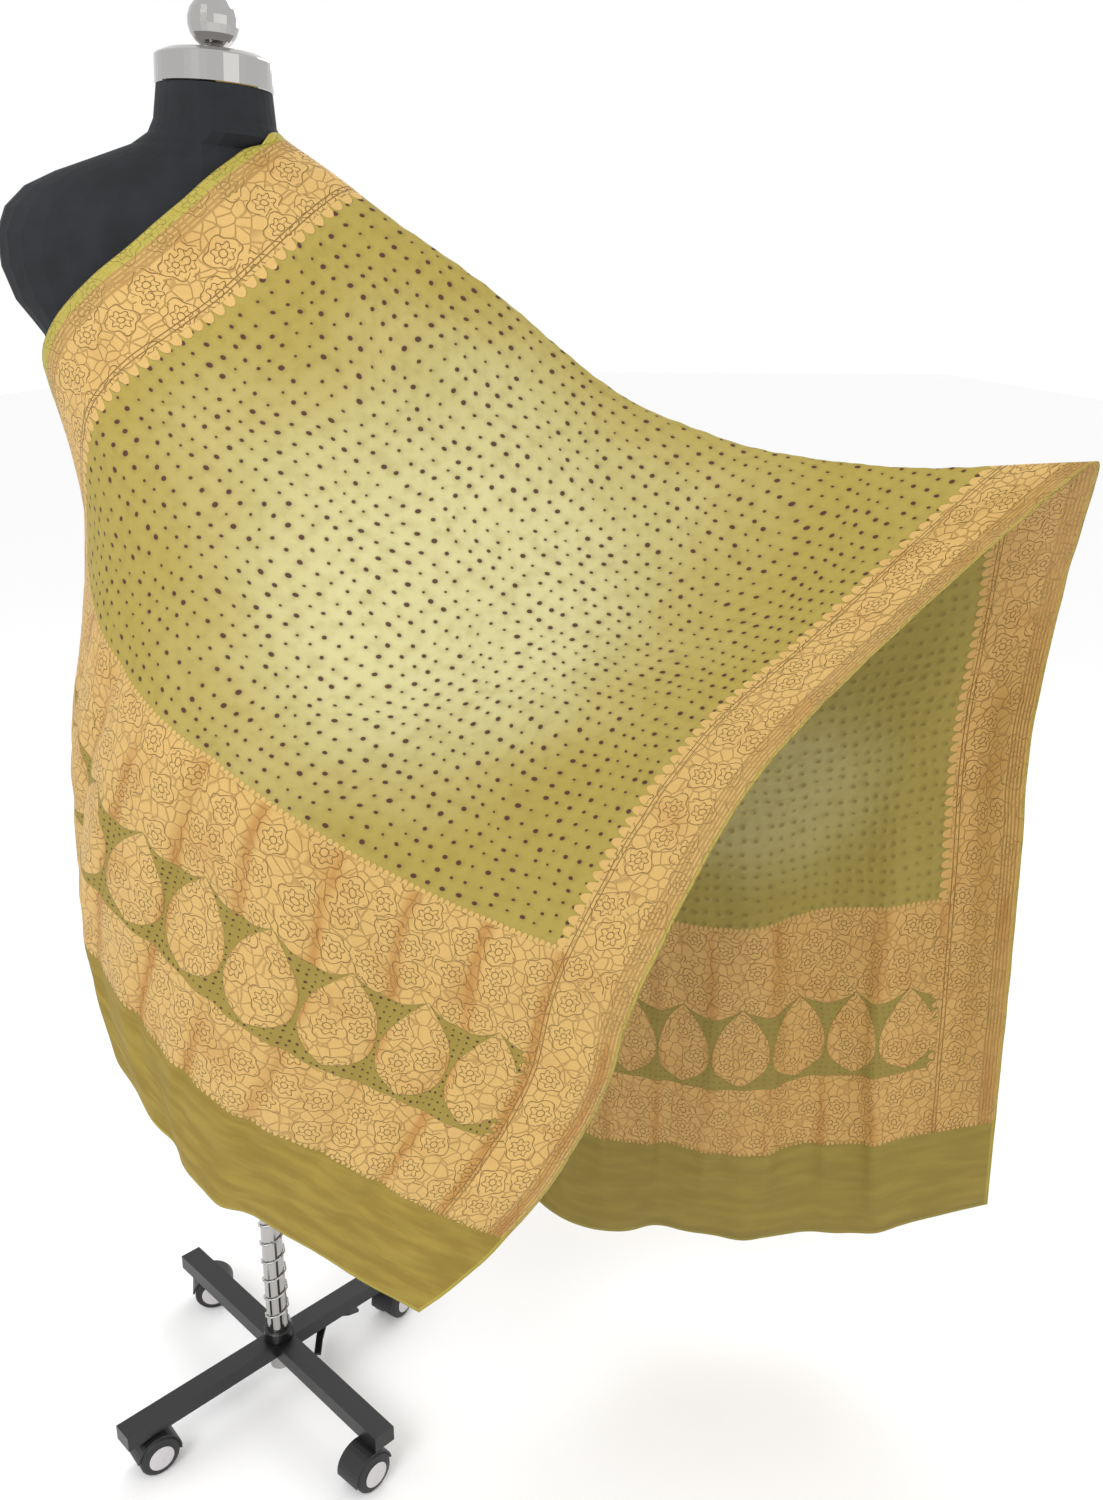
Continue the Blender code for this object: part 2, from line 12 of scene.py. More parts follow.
import bpy
import numpy as np
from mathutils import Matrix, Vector


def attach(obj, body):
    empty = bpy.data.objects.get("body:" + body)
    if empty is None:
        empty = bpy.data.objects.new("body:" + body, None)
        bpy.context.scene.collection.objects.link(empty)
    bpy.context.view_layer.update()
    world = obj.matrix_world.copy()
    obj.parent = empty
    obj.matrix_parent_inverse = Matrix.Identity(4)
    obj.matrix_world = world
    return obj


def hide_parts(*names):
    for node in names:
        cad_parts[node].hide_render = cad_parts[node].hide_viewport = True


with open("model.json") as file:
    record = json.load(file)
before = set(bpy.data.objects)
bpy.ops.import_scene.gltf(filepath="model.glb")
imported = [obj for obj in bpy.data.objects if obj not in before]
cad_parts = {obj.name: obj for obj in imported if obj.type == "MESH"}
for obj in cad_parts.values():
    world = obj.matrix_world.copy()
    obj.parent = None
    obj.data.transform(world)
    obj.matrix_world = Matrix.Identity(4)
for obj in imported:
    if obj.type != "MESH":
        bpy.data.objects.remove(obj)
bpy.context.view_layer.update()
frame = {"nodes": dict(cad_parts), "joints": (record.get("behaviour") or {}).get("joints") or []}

MM = 0.001
SHIFT = np.array((-0.3699, 0.0068, 0.0))      # pole's axis in the row's frame

# %% [markdown]
# ## The drape
# Each row of the first table is one section across the cloth. Smooth curves run through the rows, first
# across and then along, and a second table adds the soft folds. Sizes are in metres, about the stand's pole.

# %%
WIDTH, LENGTH = 0.915, 2.237      # selvedge to selvedge, end to end, laid flat
# Distance across the cloth of the five stations of a section:
# left selvedge, left third, middle, right third, right selvedge.
ACROSS = (0.0, 0.241, 0.457, 0.674, 0.915)
# One row per section, from the front end over the shoulder to the back end: its
# distance along the left and the right selvedge, then its five stations.
SECTIONS = (
    # name     near   far    left selvedge          left third
    #                        middle                 right third            right selvedge
    ("front end", 0.000, 0.000, (-0.195, 0.150, 0.725), (-0.155, -0.035, 0.580),
     (-0.070, -0.130, 0.445), (0.045, -0.155, 0.370), (0.210, -0.195, 0.290)),
    ("front strip", 0.150, 0.150, (-0.185, 0.150, 0.875), (-0.180, -0.020, 0.725),
     (-0.070, -0.150, 0.600), (0.120, -0.190, 0.490), (0.310, -0.190, 0.390)),
    ("front leaves", 0.320, 0.320, (-0.165, 0.100, 1.030), (-0.150, -0.075, 0.875),
     (-0.010, -0.180, 0.760), (0.195, -0.190, 0.635), (0.405, -0.150, 0.530)),
    ("front band", 0.490, 0.490, (-0.140, 0.025, 1.180), (-0.085, -0.120, 1.025),
     (0.050, -0.205, 0.925), (0.235, -0.185, 0.795), (0.455, -0.150, 0.685)),
    ("waist", 0.670, 0.730, (-0.130, -0.080, 1.320), (0.015, -0.150, 1.175),
     (0.195, -0.175, 1.050), (0.360, -0.135, 0.965), (0.570, -0.080, 0.885)),
    ("chest", 0.845, 0.970, (-0.015, -0.105, 1.420), (0.160, -0.125, 1.275),
     (0.325, -0.095, 1.160), (0.505, -0.055, 1.065), (0.735, -0.035, 1.055)),
    ("ridge", 1.020, 1.205, (0.090, -0.010, 1.510), (0.280, -0.025, 1.380),
     (0.455, 0.010, 1.255), (0.665, 0.005, 1.205), (0.915, 0.000, 1.210)),
    ("back upper", 1.265, 1.385, (0.180, 0.125, 1.350), (0.325, 0.065, 1.180),
     (0.500, 0.080, 1.055), (0.710, 0.085, 1.035), (0.935, 0.090, 1.065)),
    ("back middle", 1.505, 1.565, (0.205, 0.185, 1.125), (0.335, 0.100, 0.945),
     (0.510, 0.105, 0.835), (0.715, 0.120, 0.835), (0.895, 0.025, 0.905)),
    ("back band", 1.745, 1.745, (0.210, 0.190, 0.890), (0.345, 0.110, 0.710),
     (0.525, 0.115, 0.615), (0.725, 0.125, 0.635), (0.895, 0.005, 0.715)),
    ("back end", 2.237, 2.237, (0.230, 0.135, 0.405), (0.360, 0.070, 0.215),
     (0.530, 0.140, 0.130), (0.740, 0.125, 0.140), (0.925, 0.045, 0.255)),
)
RIDGE = 6                         # row of the ridge
RIDGE_EASE = 0.45                 # how tightly the cloth turns over the ridge
FAR_EASE = 1.5                    # how late the sections swing to their far distance
FADE = 4.0                        # a fold fades over a quarter of its length
# Soft folds: where each starts and ends across and along the cloth, its depth
# (outward is positive), its half width, and whether it fades at start and end.
FOLDS = (
    # name             across0 along0 across1 along1 depth   half   fades
    ("front pleat a", 0.300, 0.000, 0.330, 0.470, 0.010, 0.035, (False, True)),
    ("front pleat b", 0.440, 0.000, 0.470, 0.520, -0.009, 0.030, (False, True)),
    ("front pleat c", 0.575, 0.000, 0.590, 0.560, 0.008, 0.034, (False, True)),
    ("front pleat d", 0.700, 0.060, 0.690, 0.500, -0.007, 0.028, (True, True)),
    ("front border roll", 0.885, 0.150, 0.880, 0.420, 0.012, 0.040, (True, True)),
    ("pull to the corner", 0.830, 1.020, 0.905, 1.180, -0.008, 0.022, (True, True)),
    ("back pleat a", 0.420, 1.620, 0.430, 2.237, 0.012, 0.036, (True, False)),
    ("back pleat b", 0.540, 1.560, 0.555, 2.237, -0.011, 0.032, (True, False)),
    ("back pleat c", 0.650, 1.600, 0.645, 2.237, 0.010, 0.034, (True, False)),
    ("back pleat d", 0.745, 1.540, 0.750, 2.237, -0.009, 0.030, (True, False)),
    ("back border fold", 0.845, 1.330, 0.850, 2.120, 0.011, 0.026, (True, True)),
)


def slopes(x, y):
    """Slope of a smooth curve at each of its points."""
    h = np.diff(x)[:, None]
    d = np.diff(y, axis=0) / h
    m = np.empty_like(y)
    m[1:-1] = (d[:-1] * h[1:] + d[1:] * h[:-1]) / (h[1:] + h[:-1])
    m[0] = 1.5 * d[0] - 0.5 * m[1]
    m[-1] = 1.5 * d[-1] - 0.5 * m[-2]
    return m


def curve(x, y, q, m):
    """Smooth curve through the rows of y at x with slopes m, read at q."""
    i = np.clip(np.searchsorted(x, q, side="right") - 1, 0, len(x) - 2)
    h = (x[i + 1] - x[i])[:, None]
    t = (q - x[i])[:, None] / h
    start = (2 * t**3 - 3 * t**2 + 1) * y[i] + (t**3 - 2 * t**2 + t) * h * m[i]
    return start + (3 * t**2 - 2 * t**3) * y[i + 1] + (t**3 - t**2) * h * m[i + 1]


def normals_of(grid):
    """Unit normals of a grid of points, outward on both layers."""
    n = np.cross(np.gradient(grid, axis=1), np.gradient(grid, axis=0))
    return n / np.maximum(np.linalg.norm(n, axis=2, keepdims=True), 1e-9)


def cloth_grid(steps_across, steps_per_section):
    """Grid of points (along, across, xyz), with the cloth's own distances across and along."""
    stations = np.array([row[3:] for row in SECTIONS])
    ends = np.array([row[1:3] for row in SECTIONS])
    columns = np.array(ACROSS)
    count = np.arange(len(SECTIONS), dtype=float)
    u = np.linspace(0, WIDTH, steps_across + 1)
    t = np.linspace(0, count[-1], (len(count) - 1) * steps_per_section + 1)
    sections = np.stack([curve(columns, row, u, slopes(columns, row)) for row in stations])
    flat = sections.reshape(len(count), -1)
    m = slopes(count, flat)
    m[RIDGE] *= RIDGE_EASE
    grid = curve(count, flat, t, m).reshape(len(t), len(u), 3)
    # between two sections the distance along is shared out by arc length
    step = np.linalg.norm(np.diff(grid, axis=0), axis=2)
    reach = ends[:, :1] + (ends[:, 1:] - ends[:, :1]) * (u / WIDTH) ** FAR_EASE
    along = np.empty(grid.shape[:2])
    for i in range(len(count) - 1):
        a, b = i * steps_per_section, (i + 1) * steps_per_section
        arc = np.concatenate([np.zeros((1, len(u))), np.cumsum(step[a:b], axis=0)])
        along[a:b + 1] = reach[i] + (reach[i + 1] - reach[i]) * arc / arc[-1]
    return grid, np.broadcast_to(u, along.shape), along


def folded(grid, across, along):
    """The grid with its soft folds raised along its normals."""
    depth_here = np.zeros(across.shape)
    for _name, across0, along0, across1, along1, depth, half, (fade_in, fade_out) in FOLDS:
        run_u, run_s = across1 - across0, along1 - along0
        share = ((across - across0) * run_u + (along - along0) * run_s) / (run_u**2 + run_s**2)
        near = np.clip(share, 0, 1)
        off = np.hypot(across - across0 - run_u * near, along - along0 - run_s * near)
        fade = np.clip(share * FADE, 0, 1) if fade_in else 1.0
        if fade_out:
            fade = fade * np.clip((1 - share) * FADE, 0, 1)
        depth_here += depth * np.exp(-(off / half) ** 2) * fade
    return grid + normals_of(grid) * depth_here[..., None]


# %% [markdown]
# ## The sheet
# Fine crinkles come from the tied dots, and are strongest in the field. Narrow pleats are pressed in between
# the woven leaves. A Shrinkwrap then lifts out whatever would lie inside the form, and Solidify gives the silk
# its two sides.

# %%
ACROSS_STEPS, ALONG_STEPS = 150, 26
SILK = 0.8 * MM
CLEAR = 3.5 * MM                  # sheet's middle to the form, at the nearest
# One row per pleat, from the left: its depth and half width in mm, and how far it runs up from either end
# in metres.
PLEATS = (
    # depth half  top
    (4.0, 13, 0.36),
    (7.0, 14, 0.50),
    (9.0, 15, 0.53),
    (5.0, 12, 0.44),
    (9.5, 16, 0.57),
    (6.5, 13, 0.50),
    (8.0, 14, 0.54),
    (5.5, 13, 0.47),
    (7.5, 14, 0.52),
)
BORDER = 0.096
PLEAT_GAP = (WIDTH - 2 * BORDER) / len(PLEATS)


def crinkle(across, along):
    """Uneven soft puckers of a cloth that was tied, dyed and pressed."""
    end = np.minimum(along, LENGTH - along)
    edge = np.minimum(across, WIDTH - across)
    field = np.clip((end - 0.50) / 0.05, 0, 1) * np.clip((edge - 0.10) / 0.03, 0, 1)
    broad = np.sin(31 * across + 4.0 * np.sin(7 * along + 1)) * np.sin(9 * along + 3 * np.sin(5 * across))
    cross = np.sin(83 * along + 3.1 * np.sin(11 * across)) * np.sin(14 * across + 2 * np.sin(6 * along + 2))
    fine = np.sin(190 * across + 5 * np.sin(23 * along)) * np.sin(171 * along + 4 * np.sin(19 * across))
    return (1.5 * broad + 0.8 * cross + 0.4 * fine * (0.4 + field)) * MM


def pleats(across, along):
    """Narrow pleats, each with its own depth and length, at both ends of the cloth."""
    depth_here = np.zeros(across.shape)
    for k, (depth, half, top) in enumerate(PLEATS):
        for end in (along, LENGTH - along):
            line = BORDER + PLEAT_GAP * k + 0.006 * np.sin(9 * end + k)
            reach = np.clip((top - end) / 0.12, 0, 1) * np.clip((end - 0.03) / 0.10, 0, 1)
            depth_here -= depth * MM * np.exp(-((across - line) / (half * MM)) ** 2) * reach
    return depth_here


def grid_mesh(name, grid, across, along):
    """A grid of points as an object, with the cloth's own distances as its UV map."""
    rows, columns = grid.shape[:2]
    index = np.arange(rows * columns).reshape(rows, columns)
    quads = np.stack([index[:-1, :-1], index[:-1, 1:], index[1:, 1:], index[1:, :-1]], -1).reshape(-1, 4)
    mesh = bpy.data.meshes.new(name)
    mesh.from_pydata(grid.reshape(-1, 3), [], quads)
    flat = np.stack([across, along], -1).reshape(-1, 2)
    mesh.uv_layers.new(name="cloth").data.foreach_set("uv", flat[quads.ravel()].ravel())
    mesh.polygons.foreach_set("use_smooth", np.ones(len(quads), bool))
    piece = bpy.data.objects.new(name, mesh)
    bpy.context.scene.collection.objects.link(piece)
    return piece


grid, across, along = cloth_grid(ACROSS_STEPS, ALONG_STEPS)
grid = folded(grid, across, along)
relief = crinkle(across, along) + pleats(across, along)
grid = grid + SHIFT + normals_of(grid) * relief[..., None]
dupatta = grid_mesh("dupatta_cloth", grid, across, along)
lift = dupatta.modifiers.new("clear of the form", "SHRINKWRAP")
lift.target = frame["nodes"]["form_torso"]
lift.wrap_method, lift.wrap_mode, lift.offset = "NEAREST_SURFACEPOINT", "OUTSIDE", CLEAR
thick = dupatta.modifiers.new("thickness", "SOLIDIFY")
thick.thickness, thick.offset = SILK, 0
print("sheet", grid.shape, "lowest", round(float(grid[..., 2].min()), 3))

# %% [markdown]
# ## Writing materials as expressions
# `Wire` wraps a socket. Arithmetic on it adds Math nodes, so a pattern reads like its formula. Any other node
# comes from `Paint.node`.

# %%


class Wire:
    """One output socket, with arithmetic."""

    def __init__(self, paint, socket):
        self.paint, self.socket = paint, socket

    def math(self, kind, *values):
        return self.paint.node("Math", 0, {"operation": kind}, dict(enumerate(values)))

    def __add__(self, other): return self.math("ADD", self, other)
    def __radd__(self, other): return self.math("ADD", other, self)
    def __sub__(self, other): return self.math("SUBTRACT", self, other)
    def __rsub__(self, other): return self.math("SUBTRACT", other, self)
    def __mul__(self, other): return self.math("MULTIPLY", self, other)
    def __rmul__(self, other): return self.math("MULTIPLY", other, self)
    def __truediv__(self, other): return self.math("DIVIDE", self, other)
    def __pow__(self, other): return self.math("POWER", self, other)
    def least(self, other): return self.math("MINIMUM", self, other)
    def most(self, other): return self.math("MAXIMUM", self, other)
    def size(self): return self.math("ABSOLUTE", self)
    def sin(self): return self.math("SINE", self)
    def root(self): return self.math("SQRT", self)
    def saw(self, pitch): return self.math("FLOORED_MODULO", self, pitch)
    def whole(self, pitch): return self.math("FLOOR", self / pitch)

    def rise(self, low, high):
        """0 below low, 1 above high, smooth between."""
        values = {"Value": self, "From Min": low, "From Max": high}
        return self.paint.node("MapRange", 0, {"interpolation_type": "SMOOTHSTEP"}, values)

    def fall(self, low, high):
        """1 below low, 0 above high, smooth between."""
        return 1 - self.rise(low, high)


def light(red, green, blue):
    """A display colour out of 255 as the linear value that a shader wants."""
    shares = [value / 255 for value in (red, green, blue)]
    return tuple(c / 12.92 if c < 0.04 else ((c + 0.055) / 1.055) ** 2.4 for c in shares)


class Paint:
    """One material, with any node added by its type."""

    def __init__(self, name):
        self.material = bpy.data.materials.new(name)
        self.material.use_nodes = True
        self.tree = self.material.node_tree
        self.surface = self.tree.nodes["Principled BSDF"]

    def feed(self, slot, value):
        if isinstance(value, Wire):
            self.tree.links.new(value.socket, slot)
        else:
            slot.default_value = value

    def node(self, kind, out, settings, values):
        """A node's output, or all its outputs where out is None."""
        node = self.tree.nodes.new("ShaderNode" + kind)
        for key, value in settings.items():
            setattr(node, key, value)
        for key, value in values.items():
            self.feed(node.inputs[key], value)
        if out is None:
            return [Wire(self, socket) for socket in node.outputs]
        return Wire(self, node.outputs[out])

    def mix(self, mask, low, high):
        """Colour low where mask is 0, colour high where it is 1."""
        tones = [tone if isinstance(tone, Wire) else (*tone, 1.0) for tone in (low, high)]
        return self.node("Mix", 2, {"data_type": "RGBA"}, {0: mask, 6: tones[0], 7: tones[1]})

    def join(self, x, y, z=0.0):
        return self.node("CombineXYZ", 0, {}, {"X": x, "Y": y, "Z": z})

    def split(self, vector):
        return self.node("SeparateXYZ", None, {}, {0: vector})

    def noise(self, where, scale, detail=2.0):
        return self.node("TexNoise", 0, {}, {"Vector": where, "Scale": scale, "Detail": detail})

    def set(self, **inputs):
        for key, value in inputs.items():
            flat_colour = isinstance(value, tuple) and len(value) == 3
            self.feed(self.surface.inputs[key.replace("_", " ")], (*value, 1.0) if flat_colour else value)

    def bump(self, height, distance, strength=1.0):
        values = {"Strength": strength, "Distance": distance, "Height": height}
        self.set(Normal=self.node("Bump", 0, {}, values))


# %% [markdown]
# ## The woven and dyed pattern
# `edge` is the distance to the nearer selvedge and `end` the distance to the nearer end, so that one set of
# formulas makes both borders and both pallus. The gold is woven with trailing flowers: petals are drawn round
# scattered points, and finer leaf cells fill the ground between them.

# %%
SELVEDGE, FAR_SELVEDGE, HEM = 0.011, 0.005, 0.004
# tops of the plain strip and of the two gold bands, from either end
PLAIN, LOWER, UPPER = 0.150, 0.251, 0.491
LEAF_FOOT, LEAF_TIP, LEAF_BROAD = 0.256, 0.376, 0.40
SWAG = 0.015                                   # how far the upper band hangs between two leaf tips
DOT, DOT_R = 0.0160, 0.0023
FINE_DOT, FINE_DOT_R = 0.0082, 0.0013
LOBE, LOBE_REACH = 0.0130, 0.0105              # teeth of the border
TOOTH, TOOTH_REACH = 0.0066, 0.0060            # teeth of the bands
FLOWER, PETAL, STEM, HEART, LINE = 0.042, 0.0098, 0.0160, 0.0038, 0.0007
SOFT = 0.0008                                  # softness of a woven edge

OLIVE, PALE, DEEP = light(158, 140, 62), light(196, 190, 138), light(132, 112, 40)
# the deep gold is painted shade on the woven lines
# the light gold is a painted highlight on the raised threads
GOLD, GOLD_GLINT, GOLD_LINE_SHADE = light(202, 164, 92), light(228, 196, 130), light(146, 108, 50)
# AMBER tints the gold with painted shade in the pleat creases and with random worn patches
AMBER, MAROON, LIME = light(172, 120, 50), light(66, 26, 22), light(178, 166, 66)
# the plain strip's dark and light tones are painted shade and painted highlight on its wrinkles
STRIP_SHADED, STRIP_LIT = light(132, 110, 34), light(158, 138, 54)
WRONG_GROUND, WRONG_GOLD = light(120, 108, 48), light(172, 128, 64)


def dots(p, x, y, pitch, radius, seed):
    """Rows of tied dots a little out of line: distance from the nearest one, in its radii."""
    x = x + p.noise(p.join(x, y, seed), 9.0, 1.0) * 0.030
    y = y + p.noise(p.join(x, y, seed + 4), 9.0, 1.0) * 0.030
    cell = p.join(x.whole(pitch), y.whole(pitch), seed)
    jump = p.node("TexWhiteNoise", 1, {"noise_dimensions": "3D"}, {"Vector": cell})
    jump_x, jump_y, larger = p.split(jump)
    off_x = x.saw(pitch) - pitch / 2 + (jump_x - 0.5) * (pitch * 0.26)
    off_y = y.saw(pitch) - pitch / 2 + (jump_y - 0.5) * (pitch * 0.26)
    return (off_x * off_x + off_y * off_y * 1.3).root() / radius + (larger - 0.5) * 0.7


def teeth(line, out, pitch, reach):
    """Rounded teeth that stand out from an edge by reach."""
    aside = (line.saw(pitch) - pitch / 2) / (pitch * 0.46)
    beyond = out.most(0.0) / reach
    return (aside * aside + beyond * beyond).root().fall(0.92, 1.04) * out.rise(-SOFT, 0.0)


def flowers(p, flat):
    """Flowers with petals, a trailing stem round each, and leaf cells. 0 on a line, 1 between lines."""
    drift = p.node("TexNoise", 1, {}, {"Vector": flat, "Scale": 42.0, "Detail": 1.0})
    bent = p.node("VectorMath", 0, {"operation": "MULTIPLY_ADD"}, {0: drift, 1: (0.008, 0.008, 0.0), 2: flat})
    at_x, at_y, _unused = p.split(bent)
    scatter = {"Vector": bent, "Scale": 1 / FLOWER, "Randomness": 0.6}
    spot = p.node("TexVoronoi", 2, {"feature": "F1"}, scatter)
    spot_x, spot_y, _unused = p.split(spot)
    dx, dy = at_x - spot_x, at_y - spot_y
    r = (dx * dx + dy * dy).root()
    turn = dy.math("ARCTAN2", dy, dx)
    petal = PETAL + (turn * 7.0).sin() * 0.0016
    stem = STEM + (turn * 4.0 + r * 160).sin() * 0.0024
    rays = (turn * 3.5).sin().size().rise(0.0, 0.16)
    rays = rays.most(r.fall(HEART - LINE, HEART)).most(r.rise(PETAL - LINE, PETAL))
    cells = p.node("TexVoronoi", 0, {"feature": "DISTANCE_TO_EDGE"}, {"Vector": bent, "Scale": 78.0})
    leaves = (cells.rise(0.0, 0.07) * 0.6 + 0.4).most(r.fall(STEM - LINE, STEM))
    woven = leaves.least(rays)
    for ring in (petal, HEART, stem):
        woven = woven.least((r - ring).size().rise(0.0, LINE))
    return woven


def leaf_shape(p, x, end, flat):
    """Where the pointed leaves are, and how far aside of its nearest leaf a point lies."""
    aside = ((x - BORDER).saw(PLEAT_GAP) / (PLEAT_GAP / 2) - 1).size()
    up = (end - LEAF_FOOT) / (LEAF_TIP - LEAF_FOOT)
    above = ((up - LEAF_BROAD) / (1 - LEAF_BROAD)).most(0.0)
    below = ((LEAF_BROAD - up) / LEAF_BROAD).most(0.0)
    frayed = p.noise(flat, 420.0) * 0.10 - 0.05
    girth = (1 - above ** 1.9 - below * below * below) * 0.955
    return (girth - aside + frayed).rise(-0.02, 0.03), aside, frayed


def dupatta_paint(name, wrong_side):
    """Silk: dyed ground with tied dots, gold borders and pallus, and a plain strip at each end."""
    p = Paint(name)
    x, y, _unused = p.split(p.node("UVMap", 0, {"uv_map": "cloth"}, {}))
    edge = WIDTH / 2 - (x - WIDTH / 2).size()
    end = LENGTH / 2 - (y - LENGTH / 2).size()
    flat = p.join(x, y)
    # where the gold goes
    in_border = edge.fall(BORDER - SOFT, BORDER + SOFT)
    border = in_border.most(teeth(y, edge - BORDER, LOBE, LOBE_REACH))
    leaf, aside, frayed = leaf_shape(p, x, end, flat)
    frayed = frayed * 0.012
    low_band = (end - frayed).fall(LOWER - SOFT, LOWER + SOFT)
    hang = (2 - aside) * aside * SWAG
    high_band = (end + hang + frayed).rise(LEAF_TIP - SOFT, LEAF_TIP + SOFT)
    below_top = end.fall(UPPER - SOFT, UPPER + SOFT)
    high_band = high_band * below_top.most(teeth(x, end - UPPER, TOOTH, TOOTH_REACH))
    woven_end = end.rise(PLAIN - SOFT, PLAIN + SOFT).most(teeth(x, PLAIN - end, TOOTH, TOOTH_REACH))
    gold = border.most(low_band).most(high_band).most(leaf) * woven_end
    pallu = below_top * woven_end
    plain = 1 - woven_end
    # the weave of the gold: flowers, two lines inside the border's edge, and fine stripes by the selvedge
    woven = flowers(p, flat)
    for inset in (0.0045, 0.0090):
        line = (edge - (BORDER - inset)).size().rise(0.0, SOFT)
        woven = woven.least(line.most(1 - in_border))
    stripes = ((edge * (2 * math.pi / 0.0045)).sin() * 0.5 + 0.5).most(edge.rise(0.026, 0.029))
    woven = woven.least(stripes * 0.7 + 0.3)
    woven = woven.most(edge.rise(BORDER - SOFT, BORDER + SOFT) * (1 - pallu))
    thread = p.noise(p.join(x, y * 5.0), 700.0, 1.0)
    worn = p.noise(flat, 16.0, 3.0)
    # the woven lines are the real pattern; their deep gold is painted shade, as if they lay in shadow below
    # the raised gold
    gold_tone = p.mix(woven * 0.85 + thread * 0.15, GOLD_LINE_SHADE, GOLD)
    # painted highlight: lighter gold glints where the raised gold threads stand highest
    gold_tone = p.mix(woven * thread.rise(0.45, 0.75) * 0.6, gold_tone, GOLD_GLINT)
    # painted shade: the gold turns amber along the pleats between the leaves, where the folds fall into shade
    painted_crease_shade = aside.rise(0.68, 1.0) * pallu * p.noise(p.join(x * 6.0, y), 5.0).rise(0.36, 0.58)
    gold_tone = p.mix(painted_crease_shade * 0.8, gold_tone, AMBER)
    gold_tone = p.mix(worn.rise(0.5, 0.75) * 0.35, gold_tone, AMBER)
    # the dyed ground: pale in the middle of each layer's field, olive towards the borders
    haze = p.noise(flat, 5.0) * 0.8 - 0.4
    front_x, front_y = (x - 0.46) / 0.30, (y - 0.80) / 0.29
    back_x, back_y = (x - 0.58) / 0.20, (y - 1.56) / 0.14
    front = (front_x * front_x + front_y * front_y).root() + haze
    back = (back_x * back_x + back_y * back_y).root() + haze
    pale = front.fall(0.3, 1.2).most(back.fall(0.3, 1.1) * 0.7)
    ground = p.mix(pale * 0.9, OLIVE, PALE)
    ground = p.mix(p.noise(flat, 60.0, 4.0).rise(0.40, 0.75) * 0.25, ground, DEEP)
    open_field = (1 - gold) * (1 - pallu) * woven_end
    near_leaf = (1 - gold) * pallu
    ground = p.mix(near_leaf * 0.6, ground, DEEP)
    tied = dots(p, x, y, DOT, DOT_R, 3.0)
    fine = dots(p, x, y, FINE_DOT, FINE_DOT_R, 7.0)
    halo = tied.fall(1.0, 2.2) * open_field
    ground = p.mix(halo * 0.22, ground, DEEP)
    speck = (tied.fall(0.75, 1.15) * open_field).most(fine.fall(0.8, 1.15) * near_leaf)
    ground = p.mix(speck * (0.95 - 0.5 * wrong_side), ground, MAROON)
    # the plain ends, with painted shade in the hollows of their wrinkles and painted highlight on the ridges,
    # the selvedges and the hems
    wrinkle = p.noise(p.join(x * 2.0, y * 9.0), 7.0, 4.0)
    strip = p.mix(wrinkle.rise(0.35, 0.7) * 0.6, STRIP_SHADED, STRIP_LIT)
    tone = p.mix(plain, p.mix(gold, ground, gold_tone), strip)
    near = x.fall(SELVEDGE - SOFT, SELVEDGE + SOFT)
    far = x.rise(WIDTH - FAR_SELVEDGE - SOFT, WIDTH - FAR_SELVEDGE + SOFT) * 0.7
    hem = end.fall(HEM - SOFT, HEM + SOFT) * 0.6
    tone = p.mix(near.most(far).most(hem) * 0.85, tone, LIME)
    if wrong_side:
        tone = p.mix(wrong_side * 0.45, tone, p.mix(gold, WRONG_GROUND, WRONG_GOLD))
    pucker = tied.fall(0.3, 3.2) * open_field + fine.fall(0.3, 2.6) * near_leaf * 0.5
    ripple = p.noise(p.join(x * 0.7, y * 1.4), 95.0, 3.0)
    height = gold * woven + gold * thread * 0.25 + pucker * 0.9
    height = height + ripple * (open_field * 0.8 + 0.2) + wrinkle * plain * 0.9
    p.set(Base_Color=tone, Roughness=0.80 - gold * 0.26, Metallic=gold * 0.10)
    p.bump(height, 1.4 * MM)
    return p.material


dupatta.data.materials.append(dupatta_paint("dyed and woven silk", 0.0))
dupatta.data.materials.append(dupatta_paint("silk, wrong side", 1.0))
thick.material_offset = 1
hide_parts("dupatta")
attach(dupatta, "stand")
print("silk", [material.name for material in dupatta.data.materials])

# %% [markdown]
# ## The stand's finishes
# Black jersey on the form, plated cap, ball and pole, painted steel and moulded castors.

# %%
OBJECT_COORDINATES = 3            # that output of the Texture Coordinate node


def jersey():
    """Matt black knitted cloth."""
    p = Paint("black jersey")
    here = p.node("TexCoord", OBJECT_COORDINATES, {}, {})
    knit = p.noise(here, 1400.0, 1.0)
    nap = p.noise(here, 22.0, 3.0)
    p.set(Base_Color=p.mix(nap.rise(0.3, 0.75), light(16, 18, 22), light(26, 29, 34)), Roughness=0.9)
    p.bump(knit * 0.6 + nap * 0.4, 0.6 * MM, 0.5)
    return p.material


def plain_paint(name, tone, rough, metal=0.0, grain=300.0, depth=0.0):
    """One colour with slightly uneven gloss, and a fine grain where depth is given."""
    p = Paint(name)
    cloud = p.noise(p.node("TexCoord", OBJECT_COORDINATES, {}, {}), grain)
    p.set(Base_Color=tone, Roughness=cloud * 0.12 + rough, Metallic=metal)
    if depth:
        p.bump(cloud, depth, 0.5)
    return p.material


